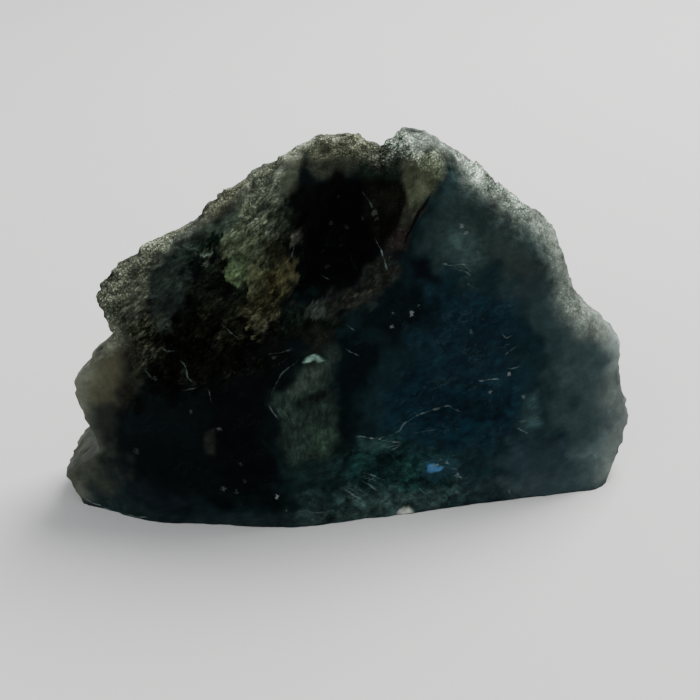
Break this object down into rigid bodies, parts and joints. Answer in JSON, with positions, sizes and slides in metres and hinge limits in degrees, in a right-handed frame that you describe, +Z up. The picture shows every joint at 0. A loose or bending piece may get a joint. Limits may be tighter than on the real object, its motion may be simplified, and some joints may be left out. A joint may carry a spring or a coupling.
{
  "type": "rough labradorite chunk",
  "caption": "Hand-sized rough labradorite chunk: an upright wedge with a split front face, a granular crust over the top, thin ends and a flat underside.",
  "frame": {"origin": "on the ground, in the middle of the stone's box seen from above", "axes": "+Z up from the flat underside, +X along the stone's length with the thin, rounded end on the right, -Y towards whoever looks at the split face; the broken back faces +Y"},
  "size_m": [0.1405, 0.0455, 0.0878],
  "materials": {
    "labradorite": "rough broken feldspar: dark blue-green cleavage faces with a soft sheen, greenish thin edges, and a pale granular crust over the top"
  },
  "bodies": {
    "root": {"labradorite_stone": "labradorite"}
  },
  "joints": []
}
